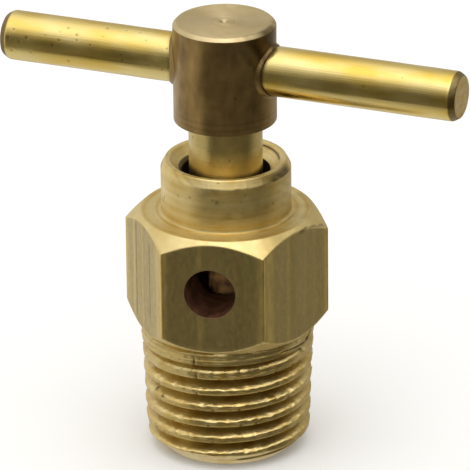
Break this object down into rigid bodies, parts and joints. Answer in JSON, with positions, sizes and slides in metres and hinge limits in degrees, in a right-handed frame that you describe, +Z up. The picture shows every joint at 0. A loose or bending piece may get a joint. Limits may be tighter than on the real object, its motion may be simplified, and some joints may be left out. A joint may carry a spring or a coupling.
{
  "type": "drain cock",
  "caption": "Brass drain cock: hexagon body with a male taper pipe thread, side drain port and an internal seat shut by a stem turned with a cross bar handle.",
  "frame": {"origin": "centre of the inlet bore at the threaded end's face", "axes": "+Z up the stem's axis from the threaded end to the handle, -Y out of the drain port, +X to the right of the port"},
  "size_m": [0.0384, 0.0142, 0.0362],
  "materials": {
    "turned_hexagon_brass": "drawn hexagon bar, turned and threaded, unpolished",
    "turned_stem_brass": "fine turned, slightly dulled",
    "drawn_rod_brass": "bright drawn rod with small pits"
  },
  "bodies": {
    "cock_body": {"valve_body": "turned_hexagon_brass"},
    "turning_stem": {"stem": "turned_stem_brass", "handle_bar": "drawn_rod_brass"}
  },
  "joints": [
    {"name": "stem_turn", "type": "hinge", "parent": "cock_body", "child": "turning_stem", "pos_m": [0, 0, 0.0213], "axis": [0, 0, 1], "range_deg": [0, 990]}
  ]
}
